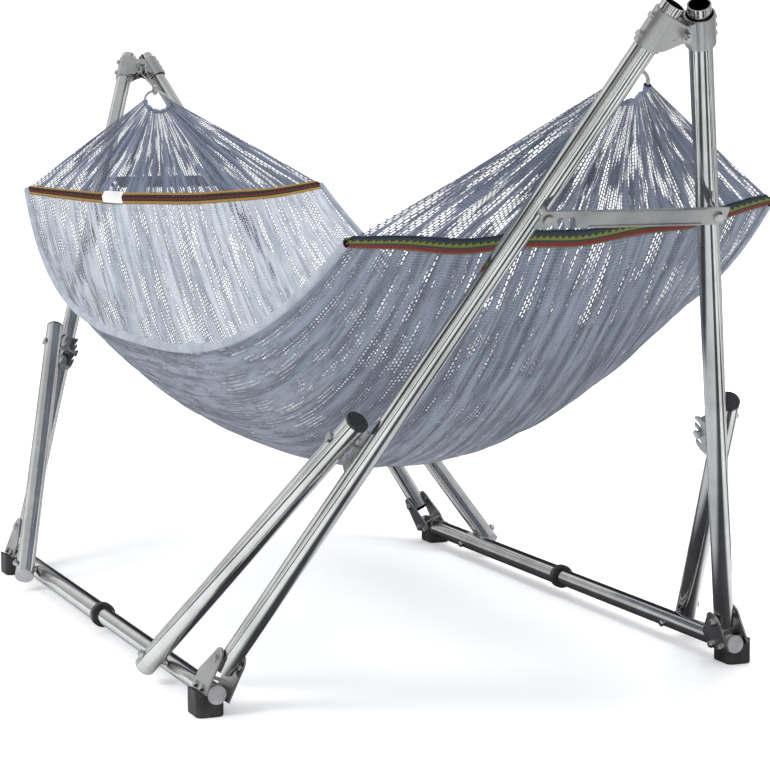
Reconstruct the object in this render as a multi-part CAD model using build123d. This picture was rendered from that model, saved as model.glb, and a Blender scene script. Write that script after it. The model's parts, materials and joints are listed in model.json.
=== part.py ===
"""Hammock on a folding steel stand.

Frame: +X runs along the stand to its near end, -Y is the left rail, +Y the right rail, +Z is up.
The origin lies on the floor, at the middle of the stand. Everything is in millimetres.
The near left corner is modelled, and the other three corners are its mirror images.
"""
import os
from math import asin, atan2, cos, hypot, radians, sin, tan

from build123d import *

# Driving dimensions of the stand
APEX_X = 1340        # hub hinge, distance from the middle
APEX_Z = 1100        # hub hinge, height
FOOT_X = 690         # leg pivot in its bracket
FOOT_Y = 465
FOOT_Z = 88
PIVOT_RISE = 55      # leg pivot above the rail, measured in the side frame
HUB_OFFSET = 32      # hub hinge to the axis of each leg

LEG_RADIUS = 17.5
STRUT_RADIUS = 19
OUTER_RADIUS = 19    # outer floor tube, far half
INNER_RADIUS = 16.5  # inner floor tube, near half
TUBE_WALL = 2
FIT = 0.05           # radial clearance of a running hinge

RAIL_END = 692
OUTER_TUBE_END = 10
INNER_TUBE_END = -180
BOLT_RADIUS = 4
HEAD_RADIUS = 7
HEAD_HEIGHT = 5

# Clevis bracket at the bottom of each leg
PLATE_INSIDE = 19.5
PLATE_OUTSIDE = 22.5
PLATE_TOP_RADIUS = 20
LOWER_BOLTS = (648, 680)

# Strut that props each leg, and the rack that it hooks into
STRUT_SIDE = 40      # strut axis outside the plane of the side frame
STRUT_FOOT_X = 455
PEG_HEIGHT = 440     # rack, measured up the side frame
PEG_STAND_OFF = 30   # peg axis from the leg axis
PEG_RADIUS = 5
NOTCH_GAP = 0.4
NOTCH_PITCH = 19.5
RACK_PLATE = 12

# Hub where two legs meet
EAR_OUTSIDE = 20.8
EAR_INSIDE = 18.2
LOOSE_RADIUS = 20.2
SLEEVE_RADIUS = 22.6
LEG_TOP = 30
LEG_TAIL = 14

# Brace between two legs
BRACE_DROP = 330
BRACE_STAND_OFF = 37.5
BRACE_THICK = 3
BRACE_HALF = 15
BRACE_PITCH = 19
BRACE_SLANT = 23

# Hook, ring and hammock
RING_TOP = Vector(1210, 0, 1045)
RING_RADIUS = 30
RING_WIRE = 3
LOOP_RADIUS = 11
LOOP_ROD = 3.5
HAMMOCK_HALF = 1040
BAND_HALF_WIDTH = 363
BAND_EDGE_Z = 818
BAND_MIDDLE_Z = 790
EDGE_SAG = 255
BED_SAG = 473
BED_SPREAD = 55
SAG_POWER = 2.7      # above 2, the bed drops more steeply beside the bands than a parabola
LEAN_SHIFT = -25     # sideways and upward lean of the near band, the upward one at its right edge
LEAN_RISE = 24
CLOTH = 8
FAN_END = Vector(1171, 0, 988)
FAN_END_HALF = 26

# Directions worked out from the driving dimensions
RISE = hypot(APEX_X - FOOT_X, APEX_Z - FOOT_Z)
LEAN_X = (APEX_X - FOOT_X) / RISE
LEAN_Z = (APEX_Z - FOOT_Z) / RISE
SPREAD = atan2(FOOT_Y, RISE) - asin(HUB_OFFSET / hypot(FOOT_Y, RISE))
LEG_AXIS = Vector(LEAN_X * cos(SPREAD), sin(SPREAD), LEAN_Z * cos(SPREAD))
LEG_OUT = Vector(LEAN_X * sin(SPREAD), -cos(SPREAD), LEAN_Z * sin(SPREAD))
SIDE_TILT = atan2(LEG_AXIS.Y, LEG_AXIS.Z)
SIDE_UP = Vector(0, sin(SIDE_TILT), cos(SIDE_TILT))
SIDE_OUT = Vector(0, -cos(SIDE_TILT), sin(SIDE_TILT))
LEG_LEAN = atan2(LEG_AXIS.X, LEG_AXIS.dot(SIDE_UP))
HUB_OUT = Vector(LEAN_Z, 0, -LEAN_X)

APEX = Vector(APEX_X, 0, APEX_Z)
LEG_FOOT = Vector(FOOT_X, -FOOT_Y, FOOT_Z)
LEG_HEAD = APEX + LEG_OUT * HUB_OFFSET
RAIL_POINT = LEG_FOOT - SIDE_UP * PIVOT_RISE
RAIL_Y = -RAIL_POINT.Y
RAIL_Z = RAIL_POINT.Z

SIDE = Plane(origin=(0, -RAIL_Y, RAIL_Z), x_dir=(1, 0, 0), z_dir=SIDE_OUT).location
HUB = Plane(origin=APEX, x_dir=(0, 1, 0), z_dir=HUB_OUT).location

CORNERS = {"near_left": (1, 1), "near_right": (1, -1), "far_left": (-1, 1), "far_right": (-1, -1)}


def rod(start, end, radius):
    """Solid cylinder from one point to another."""
    start, end = Vector(start), Vector(end)
    axis = end - start
    bar = Cylinder(radius, axis.length, align=(Align.CENTER, Align.CENTER, Align.MIN))
    return Plane(origin=start, z_dir=axis).location * bar


def pin(x, y, low, high, radius):
    """Cylinder along the local Z of a side frame or a hub."""
    return Pos(x, y, low) * Cylinder(radius, high - low, align=(Align.CENTER, Align.CENTER, Align.MIN))


def hexagon(x, y, low, high, radius):
    """Bolt head or nut with a light chamfer."""
    body = extrude(RegularPolygon(radius, 6), high - low)
    return Pos(x, y, low) * chamfer(body.edges().filter_by(GeomType.LINE).group_by(Axis.Z)[-1], 0.6)


def washer(x, y, low, high, radius, bore=BOLT_RADIUS):
    return pin(x, y, low, high, radius) - pin(x, y, low - 1, high + 1, bore)


def slab(outline, low, high):
    """Flat plate with the given outline, from low to high."""
    return Pos(0, 0, low) * extrude(outline, high - low)


def outline(points):
    return make_face(Polyline(*points, close=True))


def placed(shape, signs):
    """The shape moved from the near left corner to another one."""
    x_sign, y_sign = signs
    if x_sign < 0:
        shape = mirror(shape, about=Plane.YZ)
    if y_sign < 0:
        shape = mirror(shape, about=Plane.XZ)
    return shape


def leg_cylinder(radius, below=LEG_TAIL, above=LEG_TOP):
    return rod(LEG_FOOT - LEG_AXIS * below, LEG_HEAD + LEG_AXIS * above, radius)


def brace_point():
    """Where the brace bolt or peg crosses a leg, in the hub's own plane."""
    across = -HUB_OFFSET * cos(SPREAD) - BRACE_DROP * sin(SPREAD)
    along = HUB_OFFSET * sin(SPREAD) - BRACE_DROP * cos(SPREAD)
    return across, along


def peg_point():
    """Strut peg in the side frame: x along the rail, y up the frame."""
    along_x = FOOT_X + (PEG_HEIGHT - PIVOT_RISE) * tan(LEG_LEAN)
    x = along_x - PEG_STAND_OFF * cos(LEG_LEAN)
    y = PEG_HEIGHT + PEG_STAND_OFF * sin(LEG_LEAN)
    return x, y


def make_leg():
    tube = leg_cylinder(LEG_RADIUS) - leg_cylinder(LEG_RADIUS - TUBE_WALL, LEG_TAIL + 1, LEG_TOP + 1)
    x, y = brace_point()
    tube -= SIDE * pin(FOOT_X, PIVOT_RISE, -30, 30, BOLT_RADIUS)
    tube -= HUB * pin(x, y, -30, 30, BOLT_RADIUS)
    return tube


def make_bracket():
    """Clevis: two plates joined by a saddle between the leg and the floor tube."""
    left, right = 632, 703
    points = [(left, -6), (right, -6), (FOOT_X + 19, PIVOT_RISE), (FOOT_X - 17, PIVOT_RISE + 10), (left, 26)]
    plate = outline(points) + Pos(FOOT_X, PIVOT_RISE) * Circle(PLATE_TOP_RADIUS)
    clevis = slab(plate, PLATE_INSIDE, PLATE_OUTSIDE) + slab(plate, -PLATE_OUTSIDE, -PLATE_INSIDE)
    saddle = outline([(left + 4, 19.6), (left + 36, 19.6), (left + 36, 22.6), (left + 4, 22.6)])
    clevis += slab(saddle, -PLATE_INSIDE, PLATE_INSIDE)
    clevis -= pin(FOOT_X, PIVOT_RISE, -30, 30, BOLT_RADIUS)
    for x in LOWER_BOLTS:
        clevis -= pin(x, 2, -30, 30, BOLT_RADIUS)
    return SIDE * clevis


def make_foot(tube_radius):
    """Rubber shoe under the end of a floor tube, cut level with the floor."""
    length, width, height = 60, 49, 60
    block = Pos(RAIL_END - 26, -RAIL_Y - 10.5, height / 2) * Box(length, width, height)
    block = fillet(block.edges().filter_by(Axis.Z), 12)
    block = fillet(block.edges().group_by(Axis.Z)[0], 4)
    block -= SIDE * Pos(RAIL_END, 93, 0) * Box(400, 200, 200)
    block -= SIDE * Rot(0, 90, 0) * Cylinder(tube_radius + 0.02, 3000)
    return block


def bolt(x, y, low, high, radius=HEAD_RADIUS, tip=1.5):
    """Bolt with its head above high and its nut below low."""
    shaft = pin(x, y, low - HEAD_HEIGHT - tip, high, BOLT_RADIUS) + hexagon(x, y, high, high + HEAD_HEIGHT, radius)
    nut = hexagon(x, y, low - HEAD_HEIGHT, low, radius) - pin(x, y, low - 10, low + 1, BOLT_RADIUS)
    return [shaft, nut]


def corner_fasteners(tube_radius):
    parts = bolt(FOOT_X, PIVOT_RISE, -PLATE_OUTSIDE, PLATE_OUTSIDE, 8)
    for low, high in ((LEG_RADIUS, PLATE_INSIDE), (-PLATE_INSIDE, -LEG_RADIUS)):
        parts.append(washer(FOOT_X, PIVOT_RISE, low + 0.02, high, 8))
    for x in LOWER_BOLTS:
        parts += bolt(x, 2, -PLATE_OUTSIDE, PLATE_OUTSIDE, 6.5)
    top = STRUT_SIDE + STRUT_RADIUS + 0.3
    shaft = pin(STRUT_FOOT_X, 0, -tube_radius, top + 8, BOLT_RADIUS)
    shaft += hexagon(STRUT_FOOT_X, 0, -tube_radius - HEAD_HEIGHT, -tube_radius, HEAD_RADIUS)
    parts.append(shaft)
    parts.append(hexagon(STRUT_FOOT_X, 0, top, top + 6, HEAD_RADIUS) - pin(STRUT_FOOT_X, 0, top - 1, 99, BOLT_RADIUS))
    spacer = washer(STRUT_FOOT_X, 0, 0, STRUT_SIDE - STRUT_RADIUS - 0.4, 7)
    parts.append(spacer - Rot(0, 90, 0) * Cylinder(tube_radius + 0.02, 3000))
    return [SIDE * part for part in parts]


def brace_peg():
    """Headed peg on the left leg, standing off on a spacer."""
    x, y = brace_point()
    head = BRACE_STAND_OFF + BRACE_THICK + 1.5
    shaft = pin(x, y, -LEG_RADIUS - 4, head, BOLT_RADIUS) + pin(x, y, head, head + 3.5, 8.5)
    spacer = washer(x, y, LEG_RADIUS + 0.02, BRACE_STAND_OFF - 0.5, 8)
    nut = hexagon(x, y, -LEG_RADIUS - 4, -LEG_RADIUS - 0.02, 6.5) - pin(x, y, -30, 0, BOLT_RADIUS)
    return [HUB * part for part in (shaft, spacer, nut)]


def brace_bolt():
    """Bolt on the right leg that the brace turns on, at the left leg's mirrored place."""
    x, y = brace_point()
    head = BRACE_STAND_OFF + BRACE_THICK + 0.3
    shaft = pin(x, y, -LEG_RADIUS - 4, head, BOLT_RADIUS) + hexagon(x, y, head, head + 4.5, 8)
    spacer = washer(x, y, LEG_RADIUS + 0.02, BRACE_STAND_OFF - 0.3, 9)
    nut = hexagon(x, y, -LEG_RADIUS - 4, -LEG_RADIUS - 0.02, 6.5) - pin(x, y, -30, 0, BOLT_RADIUS)
    return [HUB * part for part in (shaft, spacer, nut)]


def make_rack():
    """Channel on the leg with three open notches for the strut's peg."""
    x, y = peg_point()
    swing = atan2(y, x - STRUT_FOOT_X)
    up = Vector(sin(LEG_LEAN), cos(LEG_LEAN))
    across = Vector(-cos(LEG_LEAN), sin(LEG_LEAN))
    out = Vector(-sin(swing), cos(swing))
    peg = Vector(x, y)

    def at(along, away):
        return peg + up * along + across * (away - PEG_STAND_OFF)

    edge = [at(-38, 8), at(38, 8), at(38, 30), at(30, 41), at(-30, 41), at(-38, 30)]
    plate = outline(edge)
    slot = PEG_RADIUS + NOTCH_GAP
    for step in (-1, 0, 1):
        middle = peg + up * (step * NOTCH_PITCH)
        side = Vector(-out.Y, out.X) * slot
        far = middle + out * 30
        plate -= outline([middle + side, far + side, far - side, middle - side])
        plate -= Pos(middle.X, middle.Y) * Circle(slot)
    rack = slab(plate, RACK_PLATE - 1.5, RACK_PLATE + 1.5) + slab(plate, -RACK_PLATE - 1.5, -RACK_PLATE + 1.5)
    for low, high in ((-38, -34), (34, 38)):
        web = outline([at(low, 16), at(high, 16), at(high, 27), at(low, 27)])
        rack += slab(web, -RACK_PLATE, RACK_PLATE)
    return SIDE * rack - leg_cylinder(LEG_RADIUS + 0.02)


def strut_ends():
    """Bottom and top of the strut's axis, and the unit vector up it, in the side frame."""
    x, y = peg_point()
    pivot = Vector(STRUT_FOOT_X, 0, STRUT_SIDE)
    peg = Vector(x, y, STRUT_SIDE)
    along = (peg - pivot).normalized()
    return pivot - along * 24, peg + along * 50, along


def make_strut():
    bottom, top, along = strut_ends()
    x, y = peg_point()
    tube = rod(bottom, top, STRUT_RADIUS) - rod(bottom - along, top + along, STRUT_RADIUS - TUBE_WALL)
    tube -= pin(STRUT_FOOT_X, 0, 0, 90, BOLT_RADIUS + FIT)
    tube -= pin(x, y, 0, 90, PEG_RADIUS)
    return SIDE * tube


def make_strut_plugs():
    bottom, top, along = strut_ends()
    inside = STRUT_RADIUS - TUBE_WALL
    parts = []
    for end, way in ((bottom, along * -1), (top, along)):
        parts.append(SIDE * (rod(end, end + way * 4, STRUT_RADIUS) + rod(end - way * 10, end, inside)))
    return parts


def make_strut_peg():
    x, y = peg_point()
    low, high = -RACK_PLATE - 5, STRUT_SIDE + STRUT_RADIUS
    peg = pin(x, y, low, high, PEG_RADIUS) + pin(x, y, high, high + 4, 8.5) + pin(x, y, low - 3, low, 8)
    return SIDE * peg


def make_rail(start, end, radius, x_sign):
    tube = rod((start, -RAIL_Y, RAIL_Z), (end, -RAIL_Y, RAIL_Z), radius)
    tube -= rod((start - 1, -RAIL_Y, RAIL_Z), (end + 1, -RAIL_Y, RAIL_Z), radius - TUBE_WALL)
    for x in LOWER_BOLTS:
        tube -= SIDE * pin(x_sign * x, 2, -30, 30, BOLT_RADIUS)
    return tube - SIDE * pin(x_sign * STRUT_FOOT_X, 0, -30, 30, BOLT_RADIUS)


def make_rail_plug(radius):
    cap = rod((RAIL_END, -RAIL_Y, RAIL_Z), (RAIL_END + 4, -RAIL_Y, RAIL_Z), radius)
    cap = fillet(cap.edges().group_by(Axis.X)[-1], 1.5)
    return cap + rod((RAIL_END - 5, -RAIL_Y, RAIL_Z), (RAIL_END, -RAIL_Y, RAIL_Z), radius - TUBE_WALL)


def make_rail_collar():
    """Plastic ring on the open end of the outer floor tube, round the inner tube."""
    low, high = OUTER_TUBE_END - 12, OUTER_TUBE_END + 4
    ring = rod((low, -RAIL_Y, RAIL_Z), (high, -RAIL_Y, RAIL_Z), OUTER_RADIUS + 4.5)
    ring = fillet(ring.edges(), 2)
    ring -= rod((low - 1, -RAIL_Y, RAIL_Z), (OUTER_TUBE_END, -RAIL_Y, RAIL_Z), OUTER_RADIUS)
    return ring - rod((low, -RAIL_Y, RAIL_Z), (high + 1, -RAIL_Y, RAIL_Z), INNER_RADIUS + 0.3)


def ear_outline(low, high, radius):
    """Flank of a hub collar, from the leg axis to the round end on the hinge bolt."""
    head = Vector(-HUB_OFFSET * cos(SPREAD), HUB_OFFSET * sin(SPREAD))
    along = Vector(sin(SPREAD), cos(SPREAD))
    bottom = head + along * low
    top = head + along * high
    inward = Vector(cos(SPREAD), -sin(SPREAD))
    waist = bottom + inward * (HUB_OFFSET * 0.55) + along * 9
    shape = outline([bottom, waist, Vector(0, -radius), Vector(0, radius), top])
    return shape + Circle(radius)


def make_left_collar():
    low, high = -42, 16
    flank = ear_outline(low, high, 14)
    collar = slab(flank, EAR_INSIDE, EAR_OUTSIDE) + slab(flank, -EAR_OUTSIDE, -EAR_INSIDE)
    collar = HUB * collar
    collar += rod(LEG_HEAD + LEG_AXIS * low, LEG_HEAD + LEG_AXIS * high, EAR_OUTSIDE)
    for step in (-29, 3):
        middle = LEG_HEAD + LEG_AXIS * step
        collar += rod(middle + LEG_OUT * 18, middle + LEG_OUT * 26, 5)
    x, y = -14, -9
    collar += HUB * pin(x, y, EAR_OUTSIDE - 1, EAR_OUTSIDE + 1, 2.5)
    collar -= rod(LEG_HEAD + LEG_AXIS * -60, LEG_HEAD + LEG_AXIS * 60, LEG_RADIUS + 0.03)
    return collar - HUB * pin(0, 0, -40, 40, BOLT_RADIUS)


def make_right_collar():
    """Looser sleeve, modelled at the left leg and mirrored by the caller."""
    low, high = -36, 14
    flank = ear_outline(low, high, 11)
    collar = slab(flank, 15.4, 17.8) + slab(flank, -17.8, -15.4)
    collar = HUB * collar
    collar += rod(LEG_HEAD + LEG_AXIS * low, LEG_HEAD + LEG_AXIS * high, SLEEVE_RADIUS)
    for step in (-26, -12, 2):
        middle = LEG_HEAD + LEG_AXIS * step
        collar += rod(middle + LEG_OUT * 20.5, middle + LEG_OUT * 25, 4)
    collar -= rod(LEG_HEAD + LEG_AXIS * -60, LEG_HEAD + LEG_AXIS * 60, LOOSE_RADIUS)
    return collar - HUB * pin(0, 0, -40, 40, BOLT_RADIUS + FIT)


def make_hub_bolt():
    shaft = pin(0, 0, -28.6, 35, BOLT_RADIUS) + hexagon(0, 0, -35, -28.6, 9)
    parts = [shaft]
    parts.append(washer(0, 0, EAR_OUTSIDE, EAR_OUTSIDE + 1.5, 10))
    parts.append(hexagon(0, 0, EAR_OUTSIDE + 1.5, EAR_OUTSIDE + 8, 8) - pin(0, 0, 0, 40, BOLT_RADIUS))
    parts.append(washer(0, 0, -EAR_OUTSIDE - 1.5, -EAR_OUTSIDE, 14))
    parts.append(washer(0, 0, -15.2, 15.2, 6.5))
    return [HUB * part for part in parts]


def pull_direction():
    """Unit vector from the hook down the fan to the middle of the band."""
    return (Vector(HAMMOCK_HALF, 0, BAND_MIDDLE_Z + 10) - RING_TOP).normalized()


def make_hook():
    """Eye on the hub bolt, two bent strands and the loop that the ring hangs in."""
    eye_low, eye_high = -28.4, -22.6
    middle = (eye_low + eye_high) / 2
    loop = RING_TOP - pull_direction() * (LOOP_RADIUS - LOOP_ROD - RING_WIRE - 0.3)
    hook = HUB * pin(0, 0, eye_low, eye_high, 12)
    hook += Plane(origin=loop, z_dir=(0, 1, 0)).location * Torus(LOOP_RADIUS, LOOP_ROD)
    knee_out = HUB.inverse() * Pos(*(loop + Vector(6, 0, 9)))
    target = knee_out.position
    for side in (-6, 6):
        route = [Vector(side, -6, middle), Vector(side, -30, middle), Vector(side * 0.4, target.Y, target.Z)]
        for start, end in zip(route, route[1:]):
            hook += HUB * rod(start, end, 2.9)
        hook += HUB * Pos(*route[1]) * Sphere(2.9)
    return hook - HUB * pin(0, 0, -40, 40, BOLT_RADIUS + 0.02)


def make_ring():
    pull = pull_direction()
    middle = RING_TOP + pull * RING_RADIUS
    normal = pull.cross(Vector(0, 1, 0))
    return Plane(origin=middle, x_dir=(0, 1, 0), z_dir=normal).location * Torus(RING_RADIUS, RING_WIRE)


def make_brace():
    """Flat bar with a bead along each edge and three notches at its left end."""
    x, y = brace_point()
    left = x - 20
    right = -x + 15
    cut = 2 * BRACE_HALF * tan(SPREAD)
    points = [(left, y - BRACE_HALF), (right - 9, y - BRACE_HALF), (right, y - BRACE_HALF + 9)]
    points += [(right, y + BRACE_HALF), (left + cut, y + BRACE_HALF)]
    plate = outline(points)
    slot = BOLT_RADIUS + 0.8
    slant = radians(BRACE_SLANT)
    down = Vector(sin(slant), -cos(slant))
    side = Vector(cos(slant), sin(slant)) * slot
    for step in range(3):
        middle = Vector(x + step * BRACE_PITCH, y)
        far = middle + down * 40
        plate -= outline([middle + side, far + side, far - side, middle - side])
        plate -= Pos(middle.X, middle.Y) * Circle(slot)
    low = BRACE_STAND_OFF
    bar = slab(plate, low, low + BRACE_THICK)
    for edge in (y - BRACE_HALF + 2.2, y + BRACE_HALF - 2.2):
        bar += rod((x + 68, edge, low + BRACE_THICK), (-x - 26, edge, low + BRACE_THICK), 2.2)
    return HUB * (bar - pin(-x, y, 0, 60, BOLT_RADIUS + FIT))


def sag(share):
    """0 at the bands and 1 at the middle of the hammock."""
    return 1 - abs(share) ** SAG_POWER


def cloth_section(x, half_width, edge_z, middle_z, lean=0):
    """Sagging strip across the hammock, as a face of constant thickness."""
    steps = 10
    upper, lower = [], []
    for index in range(steps + 1):
        place = -1 + 2 * index / steps
        y = place * half_width + LEAN_SHIFT * lean
        z = middle_z + (edge_z - middle_z) * abs(place) ** 2.2 + LEAN_RISE * place * lean
        upper.append((x, y, z + CLOTH / 2))
        lower.append((x, y, z - CLOTH / 2))
    return make_face(Polyline(*upper, *reversed(lower), close=True))


def bed_section(x):
    share = x / HAMMOCK_HALF
    width = BAND_HALF_WIDTH + BED_SPREAD * sag(share)
    edge = BAND_EDGE_Z - EDGE_SAG * sag(share)
    middle = BAND_MIDDLE_Z - BED_SAG * sag(share)
    return cloth_section(x, width, edge, middle, max(0, share) ** 2)


def make_bed():
    end = HAMMOCK_HALF - 12
    sections = [bed_section(end * (-1 + 2 * index / 14)) for index in range(15)]
    return loft(sections, ruled=True)


def make_band(lean):
    faces = [cloth_section(HAMMOCK_HALF + x, BAND_HALF_WIDTH, BAND_EDGE_Z, BAND_MIDDLE_Z, lean) for x in (-11, 9)]
    return loft(faces, ruled=True)


def make_fan(lean):
    faces = []
    start = HAMMOCK_HALF + 10
    for index in range(5):
        share = index / 4
        x = start + (FAN_END.X - start) * share
        width = BAND_HALF_WIDTH + (FAN_END_HALF - BAND_HALF_WIDTH) * share
        middle = BAND_MIDDLE_Z + (FAN_END.Z - BAND_MIDDLE_Z) * share
        rim = (BAND_EDGE_Z - BAND_MIDDLE_Z) * (1 - share)
        faces.append(cloth_section(x, width, middle + rim, middle, lean * (1 - share)))
    return loft(faces, ruled=True)


def build():
    nodes = {}
    for name, signs in CORNERS.items():
        near = signs[0] > 0
        left = signs[1] > 0
        tube_radius = INNER_RADIUS if near else OUTER_RADIUS
        fasteners = corner_fasteners(tube_radius) + (brace_peg() if left else brace_bolt())
        corner = {
            "leg": [make_leg()],
            "bracket": [make_bracket()],
            "foot": [make_foot(tube_radius)],
            "fasteners": fasteners,
            "rack": [make_rack()],
            "rail_plug": [make_rail_plug(tube_radius)],
            "strut": [make_strut()],
            "strut_plugs": make_strut_plugs(),
            "strut_peg": [make_strut_peg()],
            "hub_collar": [make_left_collar() if left else make_right_collar()],
        }
        for kind, shapes in corner.items():
            nodes[f"{kind}_{name}"] = [placed(shape, signs) for shape in shapes]
    for side, sign in (("left", 1), ("right", -1)):
        outer = make_rail(-RAIL_END, OUTER_TUBE_END, OUTER_RADIUS, -1)
        inner = make_rail(INNER_TUBE_END, RAIL_END, INNER_RADIUS, 1)
        nodes[f"rail_outer_{side}"] = [placed(outer, (1, sign))]
        nodes[f"rail_inner_{side}"] = [placed(inner, (1, sign))]
        nodes[f"rail_collar_{side}"] = [placed(make_rail_collar(), (1, sign))]
    for end, sign in (("near", 1), ("far", -1)):
        nodes[f"hub_bolt_{end}"] = [placed(shape, (sign, 1)) for shape in make_hub_bolt()]
        nodes[f"brace_{end}"] = [placed(make_brace(), (sign, 1))]
        nodes[f"hook_{end}"] = [placed(make_hook(), (sign, 1))]
        nodes[f"ring_{end}"] = [placed(make_ring(), (sign, 1))]
        lean = max(0, sign)
        nodes[f"fan_{end}"] = [placed(make_fan(lean), (sign, 1))]
        nodes[f"band_{end}"] = [placed(make_band(lean), (sign, 1))]
    nodes["hammock_bed"] = [make_bed()]
    return nodes


def main():
    os.makedirs("parts", exist_ok=True)
    for name, shapes in build().items():
        solids = [solid for shape in shapes for solid in shape.solids()]
        node = solids[0] if len(solids) == 1 else Compound(children=solids)
        export_step(node, f"parts/{name}.step")


main()
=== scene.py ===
import json
import math

import bmesh
import bpy
import numpy as np
from mathutils import Matrix, Vector


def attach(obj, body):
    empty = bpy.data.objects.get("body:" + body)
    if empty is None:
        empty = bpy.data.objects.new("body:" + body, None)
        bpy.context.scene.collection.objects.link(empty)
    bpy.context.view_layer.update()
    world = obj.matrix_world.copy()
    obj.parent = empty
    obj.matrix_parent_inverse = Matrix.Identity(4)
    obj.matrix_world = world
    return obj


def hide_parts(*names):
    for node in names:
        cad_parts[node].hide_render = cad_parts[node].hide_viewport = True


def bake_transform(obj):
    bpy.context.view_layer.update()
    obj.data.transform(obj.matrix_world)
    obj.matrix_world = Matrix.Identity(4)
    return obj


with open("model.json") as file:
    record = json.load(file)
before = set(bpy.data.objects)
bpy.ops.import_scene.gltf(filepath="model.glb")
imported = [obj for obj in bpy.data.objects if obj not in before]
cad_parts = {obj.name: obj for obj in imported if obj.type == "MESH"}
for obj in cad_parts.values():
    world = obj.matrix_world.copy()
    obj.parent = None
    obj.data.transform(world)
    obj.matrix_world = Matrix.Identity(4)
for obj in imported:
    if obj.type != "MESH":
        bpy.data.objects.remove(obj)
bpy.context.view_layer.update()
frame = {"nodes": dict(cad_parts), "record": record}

# Sizes of the hammock, in metres, as in the part's source
BAND_X = 1.040
BAND_HALF = 0.363
BAND_EDGE_Z = 0.818
BAND_MIDDLE_Z = 0.790
EDGE_SAG = 0.255
BED_SAG = 0.473
BED_SPREAD = 0.055
SAG_POWER = 2.7
CURVE_POWER = 2.2
LEAN_SHIFT, LEAN_RISE = -0.025, 0.024    # the near band hangs askew
RING_TOP = Vector((1.210, 0.0, 1.045))
RING_RADIUS = 0.030

# Sizes of the cloth pieces that only this script draws, in metres
BED_END = BAND_X - 0.004                 # the cloth stops just short of the band's middle line
CLOTH_THICK = 0.0014
BED_PLEAT = 0.0050
HEM_WIDTH, HEM_HEIGHT = 0.0060, 0.0080   # half the rolled edge, across the hammock and up
FAN_FACE = Vector((0.78, 0, -0.62))      # roughly the outward normal of the near fan and band
FAN_REACH = math.radians(98)             # how far round the ring each side of a fan is gathered
FAN_PLEAT = 0.013
FAN_SLACK = 0.014
GATHER_REACH = math.radians(95)
GATHER_RADIUS = 0.0050
BAND_HEIGHT = 0.034
BAND_THICK = 0.0026
BAND_CORNER = 0.35                       # below 1 squares the band's section off
NET_LENGTH, NET_ROW = 0.0105, 0.0062     # one opening of the net, along and across the hammock
STITCH = 0.0052                          # pitch of the knitted rows
SCRATCH_SCALE = 900                      # fine scratches in the steel, per metre
WELD_DISTANCE = 0.00001

# Flat sizes of the sheets; the fans' texture is laid out a little longer than their flat size
BED_FLAT = (0.95, 2.35)
FAN_FLAT = (0.80, 0.34)
FAN_TEXTURE_LENGTH = 0.36
BAND_FLAT = (0.034, 0.75)
LABEL_FLAT = (0.05, 0.036)

END_SIGNS = {"near": 1, "far": -1}
END_BODIES = {"near": "hammock_near", "far": "hammock"}
UPPER_OFFSET = 1                         # material slot of the bed's upper face, counted from the lower one

# Camera, in degrees and metres
CAMERA_AZIMUTH, CAMERA_ELEVATION, CAMERA_ROLL = -21.26, 5.22, -0.34
CAMERA_DISTANCE = 4.658
CAMERA_TARGET = (0, 0, 0.55)
SENSOR_WIDTH = 36
FOCAL_SHARE = 3.083                      # focal length as a share of the sensor's width
CAMERA_SHIFT = (0.061, -0.063)


# ---------------------------------------------------------------- camera, light and floor

def make_camera():
    azimuth = math.radians(CAMERA_AZIMUTH)
    elevation = math.radians(CAMERA_ELEVATION)
    roll = math.radians(CAMERA_ROLL)
    away = Vector((math.cos(elevation) * math.cos(azimuth), math.cos(elevation) * math.sin(azimuth),
                   math.sin(elevation)))
    data = bpy.data.cameras.new("camera")
    data.sensor_width = SENSOR_WIDTH
    data.lens = FOCAL_SHARE * SENSOR_WIDTH
    data.shift_x, data.shift_y = CAMERA_SHIFT
    data.clip_end = 100
    camera = bpy.data.objects.new("camera", data)
    turn = away.to_track_quat("Z", "Y").to_matrix() @ Matrix.Rotation(roll, 3, "Z")
    camera.matrix_world = Matrix.Translation(Vector(CAMERA_TARGET) + away * CAMERA_DISTANCE) @ turn.to_4x4()
    bpy.context.scene.collection.objects.link(camera)
    bpy.context.scene.camera = camera


def area_light(name, place, target, size, power):
    data = bpy.data.lights.new(name, "AREA")
    data.shape = "RECTANGLE"
    data.size, data.size_y = size
    data.energy = power
    light = bpy.data.objects.new(name, data)
    way = Vector(place) - Vector(target)
    light.matrix_world = Matrix.Translation(place) @ way.to_track_quat("Z", "Y").to_matrix().to_4x4()
    light.visible_glossy = False
    bpy.context.scene.collection.objects.link(light)


def make_lights():
    """Soft boxes, hidden from reflections: the metal reflects the studio's panels and cards instead."""
    bpy.context.scene.view_settings.view_transform = "Standard"
    area_light("key_light", (1.8, -4.2, 3.4), (0, 0, 0.5), (2.6, 2.0), 170)
    area_light("fill_light", (3.8, 3.0, 2.6), (0, 0, 0.5), (1.6, 2.6), 15)
    area_light("top_light", (-0.6, 0.4, 4.6), (0, 0, 0), (3.4, 2.4), 120)
    area_light("back_light", (-4.2, 1.6, 2.6), (0, 0, 0.6), (2.0, 2.0), 40)


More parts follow.
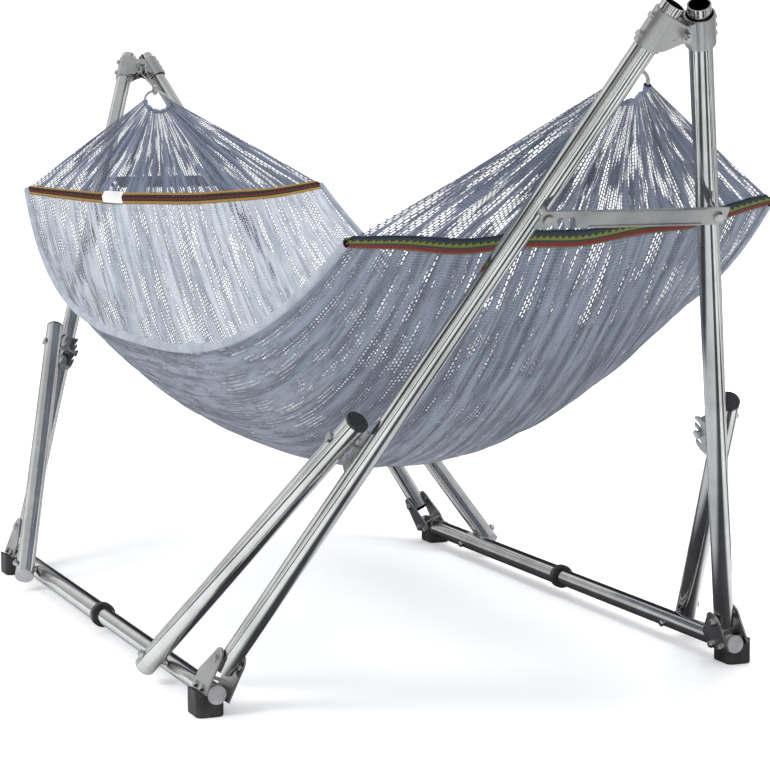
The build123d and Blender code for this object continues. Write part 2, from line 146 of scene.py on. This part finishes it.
class Nodes:
    """Small helper that adds and links the nodes of one tree."""

    def __init__(self, tree):
        self.tree = tree
        tree.nodes.clear()

    def add(self, kind, inputs=(), **settings):
        node = self.tree.nodes.new(kind)
        for name, value in settings.items():
            setattr(node, name, value)
        for name, value in dict(inputs).items():
            self.put(node.inputs[name], value)
        return node

    def put(self, socket, value):
        if isinstance(value, bpy.types.NodeSocket):
            self.tree.links.new(value, socket)
        else:
            socket.default_value = value

    def math(self, operation, first, second=0.0, clamp=False):
        node = self.tree.nodes.new("ShaderNodeMath")
        node.operation = operation
        node.use_clamp = clamp
        self.put(node.inputs[0], first)
        self.put(node.inputs[1], second)
        return node.outputs[0]

    def mix(self, share, first, second):
        node = self.tree.nodes.new("ShaderNodeMix")
        node.data_type = "RGBA"
        self.put(node.inputs["Factor"], share)
        self.put(node.inputs[6], first)
        self.put(node.inputs[7], second)
        return node.outputs[2]

    def ramp(self, value, low, high, to_low=0.0, to_high=1.0):
        node = self.tree.nodes.new("ShaderNodeMapRange")
        node.interpolation_type = "SMOOTHSTEP"
        for index, item in enumerate((value, low, high, to_low, to_high)):
            self.put(node.inputs[index], item)
        return node.outputs[0]

    def noise(self, vector, scale, detail=3.0, roughness=0.5):
        node = self.add("ShaderNodeTexNoise", {"Scale": scale, "Detail": detail, "Roughness": roughness})
        self.put(node.inputs["Vector"], vector)
        return node.outputs["Fac"]

    def scaled(self, vector, scale):
        node = self.tree.nodes.new("ShaderNodeMapping")
        self.put(node.inputs["Vector"], vector)
        node.inputs["Scale"].default_value = scale
        return node.outputs[0]

    def bump(self, height, strength, distance):
        node = self.add("ShaderNodeBump", {"Strength": strength, "Distance": distance, "Height": height})
        return node.outputs[0]


def color(red, green, blue):
    return (red, green, blue, 1.0)


def make_world():
    """Studio with bright and dark upright panels that light and reflections see; the camera sees white."""
    world = bpy.data.worlds.new("studio")
    bpy.context.scene.world = world
    world.use_nodes = True
    n = Nodes(world.node_tree)
    way = n.add("ShaderNodeTexCoord").outputs["Generated"]
    parts = n.add("ShaderNodeSeparateXYZ", {"Vector": way}).outputs
    around = n.math("ARCTAN2", parts["Y"], parts["X"])
    broad = n.math("SINE", n.math("ADD", n.math("MULTIPLY", around, 3.0), 2.6))
    narrow = n.math("SINE", n.math("ADD", n.math("MULTIPLY", around, 8.0), 1.2))
    tone = n.math("ADD", n.math("MULTIPLY", broad, 0.55), n.math("MULTIPLY", narrow, 0.45))
    walls = n.mix(n.ramp(tone, -0.5, 0.4), color(0.03, 0.03, 0.034), color(1.0, 1.01, 1.03))
    above = n.ramp(parts["Z"], 0.55, 0.9)
    studio = n.mix(above, walls, color(0.62, 0.63, 0.65))
    seen = n.add("ShaderNodeLightPath").outputs["Is Camera Ray"]
    mixed = n.mix(seen, studio, color(1.25, 1.25, 1.25))
    shade = n.add("ShaderNodeBackground", {"Color": mixed, "Strength": 1.0})
    out = n.add("ShaderNodeOutputWorld")
    n.put(out.inputs["Surface"], shade.outputs[0])


def new_material(name):
    material = bpy.data.materials.new(name)
    material.use_nodes = True
    n = Nodes(material.node_tree)
    shader = n.add("ShaderNodeBsdfPrincipled")
    out = n.add("ShaderNodeOutputMaterial")
    n.put(out.inputs["Surface"], shader.outputs[0])
    return material, n, shader


def metal(name, dark, light, smooth, rough, grain):
    """Steel with smudges, faint drawn lines and fine scratches."""
    material, n, shader = new_material(name)
    place = n.add("ShaderNodeTexCoord").outputs["Object"]
    smudge = n.noise(place, 9.0, 5.0, 0.6)
    fine = n.noise(n.scaled(place, (1, 1, 0.12)), SCRATCH_SCALE, 2.0)
    spots = n.noise(place, 140.0, 3.0)
    share = n.ramp(smudge, 0.3, 0.7)
    n.put(shader.inputs["Base Color"], n.mix(share, dark, light))
    shader.inputs["Metallic"].default_value = 1.0
    rough_value = n.ramp(n.math("ADD", n.math("MULTIPLY", smudge, 0.6), n.math("MULTIPLY", spots, 0.4)),
                         0.3, 0.7, smooth, rough)
    n.put(shader.inputs["Roughness"], rough_value)
    n.put(shader.inputs["Normal"], n.bump(fine, grain, 0.0004))
    return material


def plastic(name, dark, light, rough, bumpy, scale=350):
    """Moulded plastic, rubber or card with a fine grain and worn patches."""
    material, n, shader = new_material(name)
    place = n.add("ShaderNodeTexCoord").outputs["Object"]
    grain = n.noise(place, scale, 3.0)
    worn = n.noise(place, 25.0, 4.0)
    n.put(shader.inputs["Base Color"], n.mix(n.ramp(worn, 0.35, 0.7), dark, light))
    n.put(shader.inputs["Roughness"], n.ramp(grain, 0.3, 0.7, rough - 0.08, rough + 0.1))
    n.put(shader.inputs["Normal"], n.bump(grain, bumpy, 0.0006))
    return material


def two_tone_caps(name):
    """Glossy dark caps on the struts' upper ends and grey ones at the floor."""
    material, n, shader = new_material(name)
    place = n.add("ShaderNodeTexCoord").outputs["Object"]
    height = n.add("ShaderNodeSeparateXYZ", {"Vector": place}).outputs["Z"]
    upper = n.ramp(height, 0.2, 0.21)
    grain = n.noise(place, 300.0, 3.0)
    tint = n.mix(upper, color(0.36, 0.36, 0.37), color(0.018, 0.018, 0.02))
    tint = n.mix(n.math("MULTIPLY", n.ramp(grain, 0.4, 0.8), 0.06), tint, color(0.5, 0.5, 0.5))
    n.put(shader.inputs["Base Color"], tint)
    n.put(shader.inputs["Roughness"], n.ramp(upper, 0, 1, 0.45, 0.14))
    n.put(shader.inputs["Normal"], n.bump(grain, 0.12, 0.0005))
    return material


def net_cloth(name, dark, light, openness):
    """Knitted net: rows of small openings between the threads, in lengthwise columns along the pleats."""
    material, n, shader = new_material(name)
    flat = n.add("ShaderNodeTexCoord").outputs["UV"]
    parts = n.add("ShaderNodeSeparateXYZ", {"Vector": flat}).outputs
    wobble = n.math("MULTIPLY", n.math("SUBTRACT", n.noise(flat, 50.0, 2.0), 0.5), 0.004)
    along = n.math("ADD", parts["Y"], wobble)
    across = n.math("ADD", parts["X"], n.math("MULTIPLY", wobble, 0.6))
    mesh = n.add("ShaderNodeCombineXYZ", {"X": along, "Y": across}).outputs[0]
    streak = n.noise(n.scaled(flat, (62, 7, 1)), 1.0, 3.0, 0.6)
    crease = n.noise(n.scaled(flat, (46, 1.3, 1)), 1.0, 2.0, 0.5)
    patch = n.noise(n.scaled(flat, (5, 2.2, 1)), 1.0, 2.0, 0.5)
    cell = n.add("ShaderNodeTexBrick", {"Scale": 1.0, "Mortar Smooth": 0.3, "Bias": 0.0,
                                        "Brick Width": NET_LENGTH, "Row Height": NET_ROW})
    cell.offset = 0.5
    n.put(cell.inputs["Vector"], mesh)
    n.put(cell.inputs["Mortar Size"], n.ramp(crease, 0.35, 0.65, 0.0016, 0.0011))
    threads = cell.outputs["Fac"]
    spread = n.math("ADD", n.math("MULTIPLY", streak, 0.7), n.math("MULTIPLY", patch, 0.3))
    closed = n.ramp(spread, openness - 0.03, openness + 0.03)
    cover = n.math("MAXIMUM", n.ramp(threads, 0.3, 0.55), closed, clamp=True)
    stitch = n.math("SINE", n.math("MULTIPLY", parts["Y"], 2 * math.pi / STITCH))
    tone = n.math("ADD", n.math("MULTIPLY", streak, 0.5), n.math("MULTIPLY", crease, 0.5))
    tint = n.mix(n.ramp(n.math("ADD", tone, n.math("MULTIPLY", stitch, 0.03)), 0.38, 0.62), dark, light)
    # painted shade: where the crease noise runs high, the net's colour is darkened to under half its dark
    # tone, standing in for shade in the creases; the same mask also deepens the creases in the bump below
    fold = n.ramp(crease, 0.60, 0.68, 0.0, 0.55)
    tint = n.mix(fold, tint, tuple(0.45 * part for part in dark[:3]) + (1.0,))
    n.put(shader.inputs["Base Color"], tint)
    n.put(shader.inputs["Alpha"], cover)
    n.put(shader.inputs["Roughness"], n.ramp(streak, 0.3, 0.7, 0.75, 0.92))
    relief = n.math("SUBTRACT", n.math("ADD", threads, streak), n.math("MULTIPLY", fold, 1.5))
    relief = n.math("ADD", relief, n.math("MULTIPLY", stitch, 0.3))
    n.put(shader.inputs["Normal"], n.bump(relief, 0.6, 0.0018))
    shader.inputs["Sheen Weight"].default_value = 0.15
    shader.inputs["Sheen Roughness"].default_value = 0.5
    return material


def hem_cloth(name, dark, light):
    """Closely woven cloth with a diagonal twill."""
    material, n, shader = new_material(name)
    flat = n.add("ShaderNodeTexCoord").outputs["UV"]
    parts = n.add("ShaderNodeSeparateXYZ", {"Vector": flat}).outputs
    diagonal = n.math("ADD", parts["Y"], n.math("MULTIPLY", parts["X"], 0.4))
    twill = n.math("SINE", n.math("MULTIPLY", diagonal, 1500.0))
    fuzz = n.noise(flat, 500.0, 3.0)
    patch = n.noise(flat, 22.0, 3.0)
    n.put(shader.inputs["Base Color"], n.mix(n.ramp(patch, 0.3, 0.7), dark, light))
    n.put(shader.inputs["Roughness"], n.ramp(fuzz, 0.3, 0.7, 0.75, 0.95))
    n.put(shader.inputs["Normal"], n.bump(n.math("ADD", twill, fuzz), 0.5, 0.0008))
    shader.inputs["Sheen Weight"].default_value = 0.3
    return material


def striped_band(name, stripes, zigzag):
    """Woven trim: stripes across its height, one of them a zigzag of two colours."""
    material, n, shader = new_material(name)
    flat = n.add("ShaderNodeTexCoord").outputs["UV"]
    parts = n.add("ShaderNodeSeparateXYZ", {"Vector": flat}).outputs
    wave = n.math("PINGPONG", parts["X"], 0.006)
    sway = n.math("MULTIPLY", n.math("SUBTRACT", wave, 0.003), 90.0)
    fuzz = n.noise(flat, 700.0, 3.0)
    height = n.math("ADD", parts["Y"], n.math("MULTIPLY", n.math("SUBTRACT", fuzz, 0.5), 0.05))
    tint = color(*stripes[0][1])
    for low, shade in stripes[1:]:
        tint = n.mix(n.ramp(height, low - 0.01, low + 0.01), tint, color(*shade))
    low, high, shade = zigzag
    middle = (low + high) / 2
    bent = n.math("ADD", height, n.math("MULTIPLY", sway, (high - low)))
    below = n.ramp(height, high - 0.01, high + 0.01, 1, 0)
    inside = n.math("MULTIPLY", n.ramp(height, low - 0.01, low + 0.01), below)
    tint = n.mix(n.math("MULTIPLY", inside, n.ramp(bent, middle - 0.01, middle + 0.01)), tint, color(*shade))
    picks = n.math("SINE", n.math("MULTIPLY", parts["X"], 3600.0))
    rows = n.math("SINE", n.math("MULTIPLY", parts["Y"], 75.0))
    weave = n.math("MULTIPLY", picks, rows)
    tint = n.mix(n.ramp(weave, -1, 1, 0.0, 0.35), tint, color(0.02, 0.02, 0.025))
    n.put(shader.inputs["Base Color"], tint)
    n.put(shader.inputs["Roughness"], n.ramp(fuzz, 0.3, 0.7, 0.7, 0.9))
    n.put(shader.inputs["Normal"], n.bump(n.math("ADD", weave, fuzz), 0.6, 0.0007))
    return material


def studio_floor(name):
    """Matt pale floor that glows towards its rim; only reflections see the dark and light cards on it."""
    material, n, shader = new_material(name)
    place = n.add("ShaderNodeTexCoord").outputs["Object"]
    away = n.add("ShaderNodeVectorMath", {0: place}, operation="LENGTH").outputs["Value"]
    grain = n.noise(place, 60.0, 3.0)
    rays = n.add("ShaderNodeLightPath").outputs
    paint = n.mix(grain, color(0.86, 0.86, 0.86), color(0.90, 0.90, 0.90))
    width = n.add("ShaderNodeSeparateXYZ", {"Vector": place}).outputs["Y"]
    lane = n.math("SINE", n.math("ADD", n.math("MULTIPLY", width, 8.0), 1.1))
    cards = n.mix(n.ramp(lane, -0.75, 0.25), color(0.07, 0.07, 0.075), color(0.95, 0.96, 0.97))
    n.put(shader.inputs["Base Color"], n.mix(rays["Is Glossy Ray"], paint, cards))
    shader.inputs["Roughness"].default_value = 0.8
    shader.inputs["Emission Color"].default_value = color(1, 1, 1)
    glow = n.ramp(away, 0.9, 4.5, 0.30, 0.95)
    direct = n.math("SUBTRACT", 1.0, rays["Is Glossy Ray"])
    n.put(shader.inputs["Emission Strength"], n.math("MULTIPLY", glow, direct))
    return material


GOLD, RED, GREEN = (0.40, 0.22, 0.06), (0.20, 0.010, 0.010), (0.018, 0.05, 0.028)
BLACK, NAVY, OLIVE = (0.014, 0.014, 0.016), (0.018, 0.022, 0.06), (0.16, 0.10, 0.025)
LIME = (0.20, 0.21, 0.035)

# Stripes from the lower edge up, as the share of the height where each starts
FAR_STRIPES = [(0, GOLD), (0.22, BLACK), (0.30, GREEN), (0.40, RED),
               (0.64, GREEN), (0.72, BLACK), (0.78, GOLD)]
NEAR_STRIPES = [(0, OLIVE), (0.14, RED), (0.36, GREEN), (0.50, LIME), (0.86, NAVY)]

STEEL_DARK, STEEL_LIGHT = color(0.50, 0.50, 0.49), color(0.66, 0.66, 0.65)
PLATE_DARK, PLATE_LIGHT = color(0.40, 0.40, 0.40), color(0.58, 0.58, 0.57)
BLACK_DARK, BLACK_LIGHT = color(0.012, 0.012, 0.013), color(0.033, 0.033, 0.035)


def make_materials():
    return {
        "polished_tube": metal("polished_tube", STEEL_DARK, STEEL_LIGHT, 0.06, 0.13, 0.04),
        "brushed_plate": metal("brushed_plate", PLATE_DARK, PLATE_LIGHT, 0.28, 0.42, 0.25),
        "bolt_steel": metal("bolt_steel", color(0.42, 0.42, 0.42), color(0.66, 0.66, 0.65), 0.18, 0.34, 0.15),
        "hook_steel": metal("hook_steel", color(0.45, 0.45, 0.45), color(0.70, 0.70, 0.69), 0.12, 0.26, 0.08),
        "foot_rubber": plastic("foot_rubber", BLACK_DARK, BLACK_LIGHT, 0.6, 0.5),
        "grey_plastic": plastic("grey_plastic", color(0.28, 0.28, 0.29), color(0.40, 0.40, 0.41), 0.45, 0.2),
        "collar_plastic": plastic("collar_plastic", BLACK_DARK, BLACK_LIGHT, 0.38, 0.2),
        "cap_plastic": two_tone_caps("cap_plastic"),
        "net_outer": net_cloth("net_outer", color(0.075, 0.09, 0.13), color(0.22, 0.25, 0.32), 0.475),
        "net_inner": net_cloth("net_inner", color(0.24, 0.27, 0.32), color(0.51, 0.54, 0.59), 0.475),
        "net_fan": net_cloth("net_fan", color(0.060, 0.072, 0.11), color(0.18, 0.21, 0.28), 0.47),
        "hem": hem_cloth("hem", color(0.21, 0.24, 0.29), color(0.31, 0.34, 0.40)),
        "loops": hem_cloth("loops", color(0.08, 0.095, 0.15), color(0.20, 0.23, 0.30)),
        "band_near": striped_band("band_near", NEAR_STRIPES, (0.50, 0.86, GREEN)),
        "band_far": striped_band("band_far", FAR_STRIPES, (0.40, 0.64, BLACK)),
        "label": plastic("label", color(0.62, 0.62, 0.62), color(0.78, 0.78, 0.77), 0.7, 0.3, 900),
        "floor": studio_floor("floor"),
    }


# ---------------------------------------------------------------- mesh helpers

def grid_piece(name, rows, columns, place, material, flat, closed=False):
    """Smooth sheet whose points are place(row share, column share), with UVs in metres from flat()."""
    down = np.linspace(0, 1, rows)
    over = np.linspace(0, 1, columns)
    points = [tuple(place(a, b)) for a in down for b in over]
    faces = []
    spans = []
    for i in range(rows - 1):
        for j in range(columns - 1):
            first = i * columns + j
            faces.append((first, first + 1, first + columns + 1, first + columns))
            spans.append(((i, j), (i, j + 1), (i + 1, j + 1), (i + 1, j)))
    data = bpy.data.meshes.new(name)
    data.from_pydata(points, [], faces)
    layer = data.uv_layers.new(name="flat")
    index = 0
    for corners in spans:
        for i, j in corners:
            layer.data[index].uv = flat(down[i], over[j])
            index += 1
    if closed:
        weld(data)
    data.polygons.foreach_set("use_smooth", [True] * len(data.polygons))
    data.materials.append(material)
    piece = bpy.data.objects.new(name, data)
    bpy.context.scene.collection.objects.link(piece)
    return piece


def weld(data):
    """Joins the points where a closed strip meets itself."""
    mesh = bmesh.new()
    mesh.from_mesh(data)
    bmesh.ops.remove_doubles(mesh, verts=mesh.verts, dist=WELD_DISTANCE)
    mesh.to_mesh(data)
    mesh.free()


def ripple(share, along, seed, counts=(9, 17, 31)):
    """Uneven pleats, from -1 to 1, that wander a little along their length."""
    total = 0.0
    for step, count in enumerate(counts):
        drift = 0.9 * math.sin(2.1 * along + seed * 1.7 + step * 2.3)
        total += math.sin(2 * math.pi * count * share + drift + seed * (step + 1)) / (step + 1.6)
    return total / 1.35


# ---------------------------------------------------------------- the hammock's shape

def bed_point(x, side):
    """Middle of the cloth at x, with side from -1 to 1 across it."""
    share = x / BAND_X
    sag = 1 - abs(share) ** SAG_POWER
    lean = max(0, share) ** 2
    half = BAND_HALF + BED_SPREAD * sag
    edge = BAND_EDGE_Z - EDGE_SAG * sag
    middle = BAND_MIDDLE_Z - BED_SAG * sag
    z = middle + (edge - middle) * abs(side) ** CURVE_POWER
    return Vector((x, side * half + LEAN_SHIFT * lean, z + LEAN_RISE * side * lean))


def bed_flat(a, b):
    return (b * BED_FLAT[0], a * BED_FLAT[1])


def make_bed(materials):
    """The net bed, pleated most towards its ends and smooth where it meets the bands and the hems."""
    def place(a, b):
        x = BED_END * (2 * a - 1)
        side = 2 * b - 1
        gather = 0.35 + 0.65 * (x / BED_END) ** 2
        quiet = (1 - abs(side) ** 8) * min(1, 12 * (1 - abs(x) / BED_END))
        point = bed_point(x, side)
        point.z += BED_PLEAT * gather * quiet * ripple(b, 3.2 * a, 0.4)
        return point

    bed = grid_piece("bed_cloth", 170, 300, place, materials["net_outer"], bed_flat)
    two_faced(bed, materials["net_inner"])
    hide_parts("hammock_bed")
    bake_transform(bed)
    return bed


def two_faced(piece, inner):
    """Gives a cloth its thickness, with its lower face in its own material and its upper face in another."""
    piece.data.materials.append(inner)
    shell = piece.modifiers.new("shell", "SOLIDIFY")
    shell.thickness = CLOTH_THICK
    shell.offset = 0
    shell.material_offset = UPPER_OFFSET
    shape = bpy.data.meshes.new_from_object(piece.evaluated_get(bpy.context.evaluated_depsgraph_get()))
    piece.modifiers.clear()
    piece.data = shape


def make_hems(materials):
    """Rolled edge along each long side of the bed."""
    hems = []
    for name, side in (("hem_left", -1), ("hem_right", 1)):
        def place(a, b, side=side):
            center = bed_point(BED_END * (2 * a - 1), side)
            angle = 2 * math.pi * b
            return center + Vector((0, HEM_WIDTH * math.cos(angle), HEM_HEIGHT * math.sin(angle)))

        hem = grid_piece(name, 160, 17, place, materials["hem"], lambda a, b: (b * 0.04, a * BED_FLAT[1]),
                         closed=True)
        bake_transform(hem)
        hems.append(hem)
    return hems


def pull_way():
    """Direction in which the near fan pulls its ring."""
    return (Vector((BAND_X, 0, BAND_MIDDLE_Z + 0.010)) - RING_TOP).normalized()


def ring_point(angle, radius):
    """Point on the near ring, measured from its lowest point."""
    pull = pull_way()
    middle = RING_TOP + pull * RING_RADIUS
    return middle + pull * (radius * math.cos(angle)) + Vector((0, radius * math.sin(angle), 0))


def band_base(side, lean):
    """Point on the middle line of a band, drawn for the near end."""
    z = BAND_MIDDLE_Z + (BAND_EDGE_Z - BAND_MIDDLE_Z) * abs(side) ** CURVE_POWER
    return Vector((BAND_X, side * BAND_HALF + LEAN_SHIFT * lean, z + LEAN_RISE * side * lean))


def band_point(side, drop, lean):
    """Point on a band, drop below its middle line: the lower half lies on the bed, the upper on the fan."""
    base = band_base(side, lean)
    if drop > 0:
        step = 0.012
        bed_way = bed_point(BAND_X - step, side) - bed_point(BAND_X, side)
        return base + bed_way.normalized() * drop
    fan_way = ring_point(FAN_REACH * side, RING_RADIUS) - base
    return base + fan_way.normalized() * -drop


def at_end(point, sign):
    """A point drawn for the near end, mirrored where it belongs to the far one."""
    return Vector((point.x * sign, point.y, point.z))


def make_fan(end, materials):
    """Net panel that tapers from a band to its ring, with pleats that run to the ring."""
    sign = END_SIGNS[end]
    lean = max(0, sign)
    seed = 1.3 if end == "near" else 4.1

    def place(a, b):
        side = 2 * b - 1
        low = band_base(side, lean)
        high = ring_point(FAN_REACH * side, RING_RADIUS + 0.003)
        point = low.lerp(high, a ** 0.96)
        swell = math.sin(math.pi * a)
        slack = Vector((-0.6, 0, -0.5)) * (FAN_SLACK * swell * (1 - side * side))
        fold = 0.0006 + FAN_PLEAT * swell ** 1.4 * (1 - 0.5 * a)
        pleat = FAN_FACE * (fold * ripple(b, a, seed, (7, 13, 24)))
        return at_end(point + slack + pleat, sign)

    fan = grid_piece(f"fan_cloth_{end}", 90, 280, place, materials["net_fan"],
                     lambda a, b: (b * FAN_FLAT[0], a * FAN_TEXTURE_LENGTH))
    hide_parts(f"fan_{end}")
    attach(fan, END_BODIES[end])
    return fan


def make_gathers(end, materials):
    """Net loops bunched round the lower half of the ring."""
    sign = END_SIGNS[end]
    pull = pull_way()
    normal = pull.cross(Vector((0, 1, 0)))

    def place(a, b):
        around = GATHER_REACH * (2 * a - 1)
        turn = 2 * math.pi * b
        radius = GATHER_RADIUS + 0.0012 * math.sin(34 * a) + 0.0006 * math.sin(71 * a)
        outward = pull * math.cos(around) + Vector((0, math.sin(around), 0))
        center = ring_point(around, RING_RADIUS)
        around_rim = outward * math.cos(turn) + normal * math.sin(turn)
        return at_end(center + around_rim * radius, sign)

    gathers = grid_piece(f"gathers_{end}", 110, 18, place, materials["loops"],
                         lambda a, b: (a * 0.1, b * 0.03), closed=True)
    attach(gathers, END_BODIES[end])
    return gathers


def rounded(value, power):
    """Sine or cosine raised to a power with its sign kept, which squares off a round section."""
    return math.copysign(abs(value) ** power, value)


def make_band(end, materials):
    """Flat woven trim that covers the seam between the bed and a fan."""
    sign = END_SIGNS[end]
    lean = max(0, sign)

    def place(a, b):
        side = (2 * a - 1) * 1.004
        turn = 2 * math.pi * b
        wave = (0.0010 + 0.0030 * lean) * math.sin(11 * side + 0.7)
        drop = 0.5 * BAND_HEIGHT * rounded(math.cos(turn), BAND_CORNER) + wave
        depth = BAND_THICK * rounded(math.sin(turn), 0.6)
        return at_end(band_point(side, drop, lean) + FAN_FACE * depth, sign)

    def flat(a, b):
        return (a * BAND_FLAT[1], 0.5 - 0.5 * rounded(math.cos(2 * math.pi * b), BAND_CORNER))

    band = grid_piece(f"woven_band_{end}", 200, 49, place, materials[f"band_{end}"], flat, closed=True)
    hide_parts(f"band_{end}")
    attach(band, END_BODIES[end])
    return band


def make_label(materials):
    """Small blank label on the inner face of the far band."""
    def place(a, b):
        side = -0.51 + 0.13 * b
        point = band_point(side, 0.018 * (2 * a - 1), 0)
        curl = 0.0008 * math.sin(4 * b + 2 * a)
        return at_end(point - FAN_FACE * (BAND_THICK + 0.0012 + curl), -1)

    label = grid_piece("blank_label", 12, 16, place, materials["label"],
                       lambda a, b: (b * LABEL_FLAT[0], a * LABEL_FLAT[1]))
    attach(label, "hammock")
    return label


def make_floor(materials):
    def place(a, b):
        return Vector((40 * (a - 0.5), 40 * (b - 0.5), 0))

    floor = grid_piece("floor", 2, 2, place, materials["floor"], lambda a, b: (a, b))


def dress_frame(materials):
    """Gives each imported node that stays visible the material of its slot."""
    for part in frame["record"]["subparts"]:
        node = frame["nodes"][part["node"]]
        material = materials.get(part["material_slot"])
        if material:
            node.data.materials.clear()
            node.data.materials.append(material)


make_camera()
make_world()
make_lights()
materials = make_materials()
make_floor(materials)
dress_frame(materials)
bed = make_bed(materials)
hem_left, hem_right = make_hems(materials)
fans = {end: make_fan(end, materials) for end in END_SIGNS}
gathers = {end: make_gathers(end, materials) for end in END_SIGNS}
bands = {end: make_band(end, materials) for end in END_SIGNS}
label = make_label(materials)
